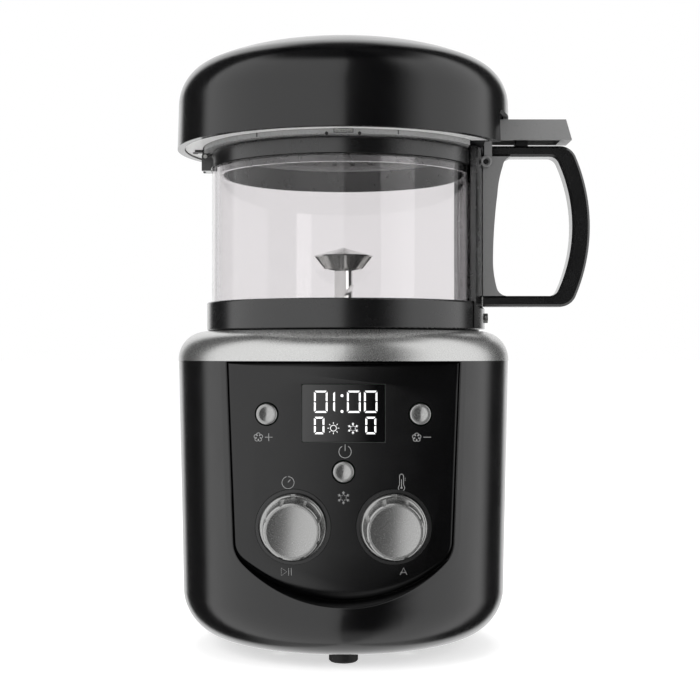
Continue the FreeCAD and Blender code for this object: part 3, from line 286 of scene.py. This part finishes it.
# The panel's ABS has a slightly softer polish, which blurs the softbox edge across it
panelAbs = finishOf("satin-gloss black ABS, moulded", "060607", 0.14, spread=0.02, tone=0.2, grain=20,
                    IOR=1.5, Coat_Weight=0.3, Coat_Roughness=0.12)
# Black PBT of the collar and handle: the same gloss, a little softer
glossPbt = finishOf("glossy black PBT, moulded", "0c0c0d", 0.26, spread=0.03, tone=0.2, grain=9, dent=0.003,
                    IOR=1.53, Coat_Weight=0.9, Coat_Roughness=0.18)
# Black glass-filled nylon of hidden and working pieces: matt with a fine spark-eroded grain
nylon = finishOf("black nylon, spark-eroded grain", "131314", 0.5, spread=0.08, tone=0.3, grain=0.8, dent=0.02)
# Silver lacquer over ABS: aluminium flakes under a satin clear coat
silverLacquer = finishOf("satin silver lacquer", "d6d6d5", 0.27, metallic=0.92, spread=0.05, tone=0.07,
                         grain=0.35, Coat_Weight=0.15, Coat_Roughness=0.3)
# The darker silver lacquer of knobs and buttons, sprayed: fine flakes and a soft shine
knobLacquer = finishOf("satin grey lacquer", "b4b4b3", 0.24, metallic=0.9, spread=0.05, tone=0.08, grain=0.35)
# Mid grey ABS of the lever and web, moulded with a fine satin grain
greyAbs = finishOf("satin grey ABS, moulded", "858585", 0.33, spread=0.06, tone=0.06, grain=1.2, dent=0.006)
# Lighter grey ABS of the filter ring, with the same grain
bandAbs = finishOf("satin light grey ABS, moulded", "a2a2a2", 0.3, spread=0.05, tone=0.05, grain=1.2,
                   dent=0.005)
# Pale heat-proof PPS plate inside the lid, moulded: almost white and satin
paleplate = finishOf("pale PPS, moulded", "fbfbfa", 0.4, spread=0.05, tone=0.02, grain=2.0, dent=0.006)
# Smoked acrylic over the display: black, mirror smooth
smoked = finishOf("smoked acrylic, polished", "060607", 0.02, spread=0.01, grain=20, IOR=1.49,
                  Coat_Weight=1.0, Coat_Roughness=0.01)
# Silicone of feet and seals, compression moulded: matt, it hardly reflects
silicone = finishOf("black silicone rubber, moulded", "1a1a1a", 0.62, spread=0.08, tone=0.2, grain=0.7,
                    dent=0.02)
# Plain turned steel of screws, pins and shafts: a satin metal with a fine speckle
steel = finishOf("turned steel", "b4b4b2", 0.28, metallic=1.0, spread=0.06, tone=0.06, grain=0.4)
# Stainless sheet, polished and a little worked by beans
stainless = finishOf("polished stainless steel", "d8d8d6", 0.12, metallic=1.0, spread=0.04, tone=0.04,
                     grain=6.0)
# Split mica of the heater's frame: brown sheets with patches from matt to shiny
mica = finishOf("mica sheet, split", "a08a64", 0.35, spread=0.15, tone=0.3, grain=3.0, dent=0.02)
# Resistance ribbon, rolled, then oxidised by its own heat: a dull brown-grey metal
ribbon = finishOf("resistance ribbon, oxidised", "6d665f", 0.4, metallic=1.0, spread=0.1, tone=0.25, grain=1.0)
# Zinc-plated steel of the motor cans, deep drawn: a cool grey with soft cloudy patches
zinc = finishOf("zinc-plated can, drawn", "a8acae", 0.3, metallic=1.0, spread=0.08, tone=0.1, grain=4.0)
# Green solder mask printed over glass fibre: satin and slightly blotched
board = finishOf("solder mask on glass fibre", "1c5a32", 0.3, spread=0.08, tone=0.35, grain=2.0, dent=0.02)


def buildGlassMaterial():
    # Borosilicate tube, drawn and fire-polished: clear, with a faint grey cast and slow thickness waves
    material = bpy.data.materials.new("borosilicate glass, drawn")
    material.use_nodes = True
    tree = material.node_tree
    shader = tree.nodes["Principled BSDF"]
    shader.inputs["Base Color"].default_value = rgb("efedee")
    shader.inputs["Roughness"].default_value = 0.0
    shader.inputs["IOR"].default_value = 1.47
    shader.inputs["Transmission Weight"].default_value = 1.0
    place = addNode(tree, "ShaderNodeTexCoord")
    # waves 25 mm long and 0.004 mm deep
    waves = addNode(tree, "ShaderNodeTexNoise", {"Vector": place.outputs["Object"], "Scale": 40.0,
                                                 "Detail": 0.0})
    bump = addNode(tree, "ShaderNodeBump", {"Height": waves.outputs[0], "Distance": 0.004 * mm,
                                            "Strength": 0.5})
    tree.links.new(bump.outputs[0], shader.inputs["Normal"])
    return material


glass = buildGlassMaterial()


def buildInk(name, colour, glow):
    material = finishOf(name, colour, 0.45, tone=0.04, grain=0.5)
    shader = material.node_tree.nodes["Principled BSDF"]
    if glow:
        shader.inputs["Emission Color"].default_value = rgb(colour)
        shader.inputs["Emission Strength"].default_value = glow
    return material


# White diodes behind the window, and the grey pad print on the panel
diodeWhite = buildInk("white display segments, lit", "f4f4f4", 0.75)
padPrint = buildInk("light grey pad print", "a4a4a4", 0.0)

finishes = [
    (glossAbs, ["base_shell", "lid_dome"]),
    (panelAbs, ["control_panel"]),
    (glossPbt, ["chamber_collar", "top_ring", "handle_spine", "handle_grip", "lid_clip", "knob_bezels"]),
    (nylon, ["base_plate", "chamber_well", "blower_housing", "air_duct", "slot_liner", "lid_knuckle",
             "lever_buffer", "lever_pin", "cable_gland", "stirrer_bush", "drive_dog", "impeller"]),
    (silverLacquer, ["shoulder_ring"]),
    (knobLacquer, ["fan_up_button", "fan_down_button", "power_button", "timer_knob", "heat_knob"]),
    (greyAbs, ["thumb_lever", "handle_web"]),
    (bandAbs, ["filter_ring"]),
    (paleplate, ["lid_underplate"]),
    (smoked, ["display_window"]),
    (glass, ["glass_tube"]),
    (silicone, ["rubber_feet", "seat_gasket", "lower_seal", "upper_seal"]),
    (steel, ["base_screws", "handle_screws", "hinge_pin", "timer_spindle", "heat_spindle",
             "motor_shaft", "drive_shaft", "filter_clip", "thermal_cutoff", "chaff_filter"]),
    (stainless, ["stirrer_blade", "stirrer_hub", "chamber_floor", "heater_can"]),
    (mica, ["heater_frame"]),
    (ribbon, ["heater_coil"]),
    (zinc, ["fan_motor", "gear_motor"]),
    (board, ["control_board", "power_board", "display_module", "tact_switches", "encoders"]),
]
for material, names in finishes:
    for name in names:
        mesh = frame["nodes"][name].data
        mesh.materials.clear()
        mesh.materials.append(material)
print("materials done")


# Display and printed marks

panelFront = -68.0  # the panel's flat face
paneFront = -67.6  # the window's face, a little behind it
printDepth = 0.05  # how far a printed or lit mark stands off its face
markLift = 0.02  # how far a lit segment's back stands off the window


def stroke(points, width, closed=False, plane=panelFront):  # a flat line through (x, z) points, in mm
    curve = bpy.data.curves.new("stroke", "CURVE")
    curve.dimensions = "3D"
    line = curve.splines.new("POLY")
    line.points.add(len(points) - 1)
    for spot, (x, z) in zip(line.points, points):
        spot.co = (x * mm, 0, z * mm, 1)
    line.use_cyclic_u = closed
    curve.bevel_depth = width / 2 * mm
    curve.bevel_resolution = 1
    curve.use_fill_caps = True
    thing = bpy.data.objects.new("stroke", curve)
    scene.collection.objects.link(thing)
    pick(thing)
    bpy.ops.object.convert(target="MESH")
    thing = bpy.context.object
    thing.scale = (1, printDepth / width * 2, 1)
    thing.location = (0, plane * mm, 0)
    return settle(thing)


def ringPoints(x, z, radius, first=0, last=360, count=28):
    closed = last - first >= 360
    steps = count if closed else count - 1
    return [(x + radius * math.sin(math.radians(first + (last - first) * i / steps)),
             z + radius * math.cos(math.radians(first + (last - first) * i / steps))) for i in range(count)]


def plate(corners, plane, thick):  # a thin flat shape with the given (x, z) corners
    deselect()
    bpy.ops.mesh.primitive_circle_add(vertices=len(corners), radius=0.001, fill_type="NGON")
    thing = bpy.context.object
    for vertex, (x, z) in zip(thing.data.vertices, corners):
        vertex.co = (x * mm, plane * mm, z * mm)
    bpy.ops.object.mode_set(mode="EDIT")
    bpy.ops.mesh.select_all(action="SELECT")
    bpy.ops.mesh.extrude_region_move(TRANSFORM_OT_translate={"value": (0, -thick * mm, 0)})
    bpy.ops.mesh.select_all(action="SELECT")
    bpy.ops.mesh.normals_make_consistent(inside=False)
    bpy.ops.object.mode_set(mode="OBJECT")
    return thing


display = {
    "stroke": 0.9,
    "gap": 0.22,
    # digits: left, right, bottom, top and which segments are lit
    "digits": [(-14.8, -8.0, 128.0, 139.1, "abcdef"), (1.76, 8.6, 128.0, 139.1, "abcdef"),
               (10.3, 17.0, 128.0, 139.1, "abcdef"), (-14.8, -9.6, 117.3, 126.0, "abcdef"),
               (11.0, 16.4, 117.3, 126.0, "abcdef"), (-9.4, -4.26, 128.0, 139.1, "bc")],
    "colon": [(-0.75, 136.6), (-0.75, 128.7)],
    "dot": 0.72,
    # icons: x, z, radius and width of the lines
    "sun": (-5.06, 120.3, 3.0, 0.3),
    "snow": (4.76, 120.2, 2.9, 0.26),
}


def digit(left, right, bottom, top, lit):
    t, g = display["stroke"], display["gap"]
    t = min(t, (right - left) * 0.2)
    middle = (top + bottom) / 2
    e = t * 0.45
    shapes = {
        "a": [(left + e, top), (right - e, top), (right - t - g, top - t), (left + t + g, top - t)],
        "d": [(left + e, bottom), (left + t + g, bottom + t), (right - t - g, bottom + t), (right - e, bottom)],
        "f": [(left, top - e - g), (left + t, top - t - 2 * g), (left + t, middle + t * 0.45),
              (left, middle + g)],
        "e": [(left, bottom + e + g), (left, middle - g), (left + t, middle - t * 0.45),
              (left + t, bottom + t + 2 * g)],
        "b": [(right, top - e - g), (right, middle + g), (right - t, middle + t * 0.45),
              (right - t, top - t - 2 * g)],
        "c": [(right, bottom + e + g), (right - t, bottom + t + 2 * g), (right - t, middle - t * 0.45),
              (right, middle - g)],
    }
    return [plate(shapes[name], paneFront + markLift, printDepth) for name in lit]


def sunIcon(x, z, radius, width, plane):
    marks = [stroke(ringPoints(x, z, radius * 0.5), width, True, plane)]
    for number in range(8):
        angle = math.radians(45 * number)
        ray = [(x + r * math.sin(angle), z + r * math.cos(angle)) for r in (radius * 0.72, radius)]
        marks.append(stroke(ray, width, False, plane))
    return marks


def snowIcon(x, z, radius, width, plane):
    marks = []
    for number in range(6):
        angle = math.radians(60 * number)
        along = Vector((math.sin(angle), math.cos(angle)))
        side = Vector((along.y, -along.x))
        middle = Vector((x, z))
        tip = middle + along * radius
        marks.append(stroke([tuple(middle + along * radius * 0.62), tuple(tip)], width, False, plane))
        for turn in (-1, 1):
            fork = middle + along * radius * 0.62
            end = fork + along * radius * 0.22 + side * turn * radius * 0.2
            marks.append(stroke([tuple(fork), tuple(end)], width, False, plane))
    points = []
    for number in range(12):
        angle = math.radians(30 * number)
        reach = radius * (0.62 if number % 2 == 0 else 0.36)
        points.append((x + reach * math.sin(angle), z + reach * math.cos(angle)))
    marks.append(stroke(points, width * 0.8, True, plane))
    return marks


def fanIcon(x, z, radius, width):
    marks = []
    for number in range(5):
        angle = 72 * number
        cx = x + radius * 0.58 * math.sin(math.radians(angle))
        cz = z + radius * 0.58 * math.cos(math.radians(angle))
        marks.append(stroke(ringPoints(cx, cz, radius * 0.42, angle - 140, angle + 140, 14), width))
    return marks


def buildDisplay():
    marks = []
    for one in display["digits"]:
        marks += digit(*one)
    for x, z in display["colon"]:
        marks.append(plate(ringPoints(x, z, display["dot"], 0, 360, 12), paneFront + markLift, printDepth))
    marks += sunIcon(*display["sun"], paneFront)
    marks += snowIcon(*display["snow"], paneFront)
    finish(joined("displayDigits", marks), diodeWhite, "base")


# The printed symbols' own (x, z) points, in mm; each "bars" entry is one straight line
printed = {
    "width": 0.36,
    "power": (0.8, 108.5, 3.1, 28, 332, 30),
    "powerBar": [(0.8, 108.9), (0.8, 112.2)],
    "cool": (0, 85.4, 3.3),
    "fans": [(-42.7, 115.8, 2.2), (36.7, 115.7, 2.2)],
    "plusMinus": [[(-39.4, 115.8), (-35.6, 115.8)], [(-37.5, 113.9), (-37.5, 117.7)],
                  [(40.1, 115.8), (43.9, 115.8)]],
    "clock": (-27.8, 93.0, 3.05),
    "clockHand": [(-27.9, 93.1), (-26.6, 94.6)],
    # thermometer: its round top, its bulb, the drop in the bulb, the column and two ticks
    "thermoTop": (29.1, 96.3, 1.0, -90, 90, 8),
    "thermoBulb": (29.1, 90.4, 1.6, 39, 321, 18),
    "thermoDrop": (29.1, 90.4, 0.4),
    "thermoColumn": [(29.1, 90.4), (29.1, 94.6)],
    "ticks": [[(30.6, 95.2), (31.2, 95.2)], [(30.6, 94.2), (31.2, 94.2)]],
    "tickShare": 0.8,
    "play": [(-31.2, 46.4), (-31.2, 50.2), (-28.4, 48.3)],
    "pause": [[(-27.5, 46.4), (-27.5, 50.2)], [(-26.2, 46.4), (-26.2, 50.2)]],
    "letter": [[(28.4, 46.8), (30.1, 50.3), (31.8, 46.8)], [(29.0, 47.9), (31.2, 47.9)]],
}


def buildPrint():
    w = printed["width"]
    marks = [stroke(ringPoints(*printed["power"]), w), stroke(printed["powerBar"], w)]
    marks += snowIcon(*printed["cool"], w, panelFront)
    for place in printed["fans"]:
        marks += fanIcon(*place, w)
    marks += [stroke(line, w) for line in printed["plusMinus"]]
    marks += [stroke(ringPoints(*printed["clock"]), w), stroke(printed["clockHand"], w)]
    marks += [stroke(ringPoints(*printed["thermoTop"]) + ringPoints(*printed["thermoBulb"]), w, True),
              stroke(printed["thermoColumn"], w),
              stroke(ringPoints(*printed["thermoDrop"], count=10), w, True)]
    marks += [stroke(line, w * printed["tickShare"]) for line in printed["ticks"]]
    marks += [stroke(printed["play"], w, True)] + [stroke(line, w) for line in printed["pause"]]
    marks += [stroke(line, w) for line in printed["letter"]]
    finish(joined("panelPrint", marks), padPrint, "base")


buildDisplay()
buildPrint()
print("display and print done")


# Control panel with a soft front edge, and the fine bead round its recess
panel = {
    "top": 153.8, "topHalf": 58.8, "lowHalf": 55.2, "arcRadius": 76.0, "arcZ": 109.4, "corner": 14.0,
    "seam": 0.2, "back": -65.0,
    "edgeWide": 2.8, "edgeDeep": 1.7, "edgeSteps": 6,
    # round holes: x, z and radius, for the buttons and then the knobs
    "rounds": [(-38.5, 127.4, 6.0), (38.5, 127.4, 6.0), (0, 98.4, 6.0), (-25.3, 70.8, 19.1),
               (25.3, 70.8, 19.1)],
    "windowHole": [(-20.95, 113.2), (20.95, 113.2), (20.95, 142.4), (-20.95, 142.4)],
    "holeFrom": -62, "holeDeep": 12,
    "smoothBelow": 35,
}


def panelOutline(grow):  # (x, z) corners from the right top round the bottom to the left top
    arc, corner, half = panel["arcRadius"] + grow, panel["corner"] + grow, panel["lowHalf"] + grow
    centre = Vector((0, panel["arcZ"]))
    high = Vector((panel["topHalf"] + grow, panel["top"]))
    low = Vector((half, panel["arcZ"] - math.sqrt(arc ** 2 - half ** 2)))
    down = (low - high).normalized()
    inward = Vector((down.y, -down.x))
    start = high + inward * corner - centre
    across = start.dot(down)
    run = -across + math.sqrt(across ** 2 - start.length_squared + (arc - corner) ** 2)
    middle = high + inward * corner + down * run
    begin = math.atan2(-inward.y, -inward.x)
    outward = (middle - centre).normalized()
    end = math.atan2(outward.y, outward.x)
    side = [high] + [high + down * (run * i / 6) for i in range(1, 6)]
    bend = [middle + Vector((math.cos(begin + (end - begin) * i / 9), math.sin(begin + (end - begin) * i / 9)))
            * corner for i in range(10)]
    sweep = [centre + Vector((math.cos(end + (-math.pi / 2 - end) * i / 20),
                              math.sin(end + (-math.pi / 2 - end) * i / 20))) * arc for i in range(1, 21)]
    right = side + bend + sweep
    return [tuple(p) for p in right] + [(-p.x, p.y) for p in reversed(right[:-1])]


def buildPanel():
    thing = plate(panelOutline(-panel["seam"]), panel["back"], -panelFront + panel["back"] - panel["edgeDeep"])
    front = panelFront + panel["edgeDeep"]
    bpy.ops.object.mode_set(mode="EDIT")
    bpy.ops.mesh.select_mode(type="FACE")
    bpy.ops.mesh.select_all(action="DESELECT")
    bpy.ops.object.mode_set(mode="OBJECT")
    for face in thing.data.polygons:
        face.select = face.normal.y < -0.9 and abs(face.center.y - front * mm) < 0.1 * mm
    bpy.ops.object.mode_set(mode="EDIT")
    steps = panel["edgeSteps"]
    for step in range(steps):  # a quarter of an ellipse, one inset at a time
        a, b = (math.radians(90 * n / steps) for n in (step, step + 1))
        bpy.ops.mesh.inset(thickness=panel["edgeWide"] * (math.cos(a) - math.cos(b)) * mm,
                           depth=panel["edgeDeep"] * (math.sin(b) - math.sin(a)) * mm)
    bpy.ops.object.mode_set(mode="OBJECT")
    holes = []
    for x, z, radius in panel["rounds"]:
        deselect()
        bpy.ops.mesh.primitive_cylinder_add(vertices=72, radius=radius * mm, depth=panel["holeDeep"] * mm,
                                            location=(x * mm, panelFront * mm, z * mm),
                                            rotation=(math.radians(90), 0, 0))
        holes.append(settle(bpy.context.object))
    holes.append(plate(panel["windowHole"], panel["holeFrom"], panel["holeDeep"]))
    for hole in holes:
        modifier = thing.modifiers.new("hole", "BOOLEAN")
        modifier.operation = "DIFFERENCE"
        modifier.solver = "EXACT"
        modifier.object = hole
    applyAll(thing)
    for hole in holes:
        bpy.data.objects.remove(hole)
    thing.name = "controlPanel"
    pick(thing)
    bpy.ops.object.shade_smooth_by_angle(angle=math.radians(panel["smoothBelow"]))
    finish(thing, panelAbs, "base", ["control_panel"])


def bead(name, points, radius, closed=False):  # a round bead along (x, y, z) points, in mm
    curve = bpy.data.curves.new(name, "CURVE")
    curve.dimensions = "3D"
    line = curve.splines.new("POLY")
    line.points.add(len(points) - 1)
    for spot, (x, y, z) in zip(line.points, points):
        spot.co = (x * mm, y * mm, z * mm, 1)
    line.use_cyclic_u = closed
    curve.bevel_depth = radius * mm
    curve.bevel_resolution = 3
    thing = bpy.data.objects.new(name, curve)
    scene.collection.objects.link(thing)
    pick(thing)
    bpy.ops.object.convert(target="MESH")
    bpy.ops.object.shade_smooth()
    return bpy.context.object


# The bead lies on the shell, which widens from the low radius at lowZ by "widens" over "over"
recess = {"outside": 0.15, "lowRadius": 87.3, "widens": 2.6, "lowZ": 31, "over": 123, "sunk": 0.25, "bead": 0.4}


def buildRecessBead():
    points = []
    for x, z in panelOutline(recess["outside"]):
        radius = recess["lowRadius"] + recess["widens"] * (z - recess["lowZ"]) / recess["over"]
        points.append((x, -math.sqrt(radius ** 2 - x ** 2) + recess["sunk"], z))
    finish(bead("recessBead", points, recess["bead"]), glossAbs, "base")


windowFrame = {"corners": [(-21.1, 113.1), (21.1, 113.1), (21.1, 142.5), (-21.1, 142.5)], "width": 0.35}
faceRing = {"rings": [("timerFaceRing", -25.3, "timer_dial"), ("heatFaceRing", 25.3, "heat_dial")],
            "z": 70.8, "radius": 12.4, "points": 64, "width": 0.2, "plane": -88.03}
boss = {"x": 77.3, "y": -10.55, "z": 262, "radius": 2.45, "bead": 0.8, "points": 24}
# Marks on the filter ring: split lines in degrees from the front, bumps and the clip's plate
ringMarks = {"splits": (-35, 21), "halfGap": 0.12, "radius": 76.34, "low": 267.2, "high": 271.6, "bead": 0.12,
             "bumps": (-8.4, 8.0), "bumpRadius": 0.9, "bumpY": -75.8, "bumpZ": 267.0,
             "clipHalf": 4.9, "clipY": -75.9, "clipThick": 0.55}
# The latch slot in the pale plate, near the hinge: no slot is cut; a thin black disc on the plate paints the
# shade of its opening
slotPaintedShade = {"place": (-82.2, 8, 269.25), "scale": (1.5, 3.4, 1), "thick": 0.3}


def buildTrim():
    frameMark = stroke(windowFrame["corners"], windowFrame["width"], True)
    finish(joined("windowFrame", [frameMark]), smoked, "base")
    for name, x, body in faceRing["rings"]:
        ring = stroke(ringPoints(x, faceRing["z"], faceRing["radius"], count=faceRing["points"]),
                      faceRing["width"], True, faceRing["plane"])
        finish(joined(name, [ring]), knobLacquer, body)
    # the boss goes round the lever's pin
    step = 360 / boss["points"]
    points = [(boss["x"] + boss["radius"] * math.sin(math.radians(step * n)), boss["y"],
               boss["z"] + boss["radius"] * math.cos(math.radians(step * n))) for n in range(boss["points"])]
    finish(bead("leverBoss", points, boss["bead"], True), greyAbs, "lever")
    marks = []
    low, high = ringMarks["low"], ringMarks["high"]
    for angle in ringMarks["splits"]:
        for turn in (-ringMarks["halfGap"], ringMarks["halfGap"]):
            a = math.radians(angle + turn)
            x, y = ringMarks["radius"] * math.sin(a), -ringMarks["radius"] * math.cos(a)
            marks.append(bead("split", [(x, y, z) for z in (low, high)], ringMarks["bead"]))
    for x in ringMarks["bumps"]:
        deselect()
        place = (x * mm, ringMarks["bumpY"] * mm, ringMarks["bumpZ"] * mm)
        bpy.ops.mesh.primitive_uv_sphere_add(segments=20, ring_count=10, radius=ringMarks["bumpRadius"] * mm,
                                             location=place)
        marks.append(settle(bpy.context.object))
    half = ringMarks["clipHalf"]
    marks.append(plate([(-half, low), (half, low), (half, high), (-half, high)], ringMarks["clipY"],
                       ringMarks["clipThick"]))
    finish(joined("ringMarks", marks), nylon, "lid")
    # painted shade: a thin black disc on the pale plate stands for the dark inside the latch slot
    deselect()
    bpy.ops.mesh.primitive_cylinder_add(vertices=28, radius=mm, depth=slotPaintedShade["thick"] * mm,
                                        location=[v * mm for v in slotPaintedShade["place"]])
    slotShadeDisc = bpy.context.object
    slotShadeDisc.scale = slotPaintedShade["scale"]
    finish(joined("slotPaintedShade", [slotShadeDisc]), nylon, "lid")


buildPanel()
buildRecessBead()
buildTrim()
print("panel and trim done")
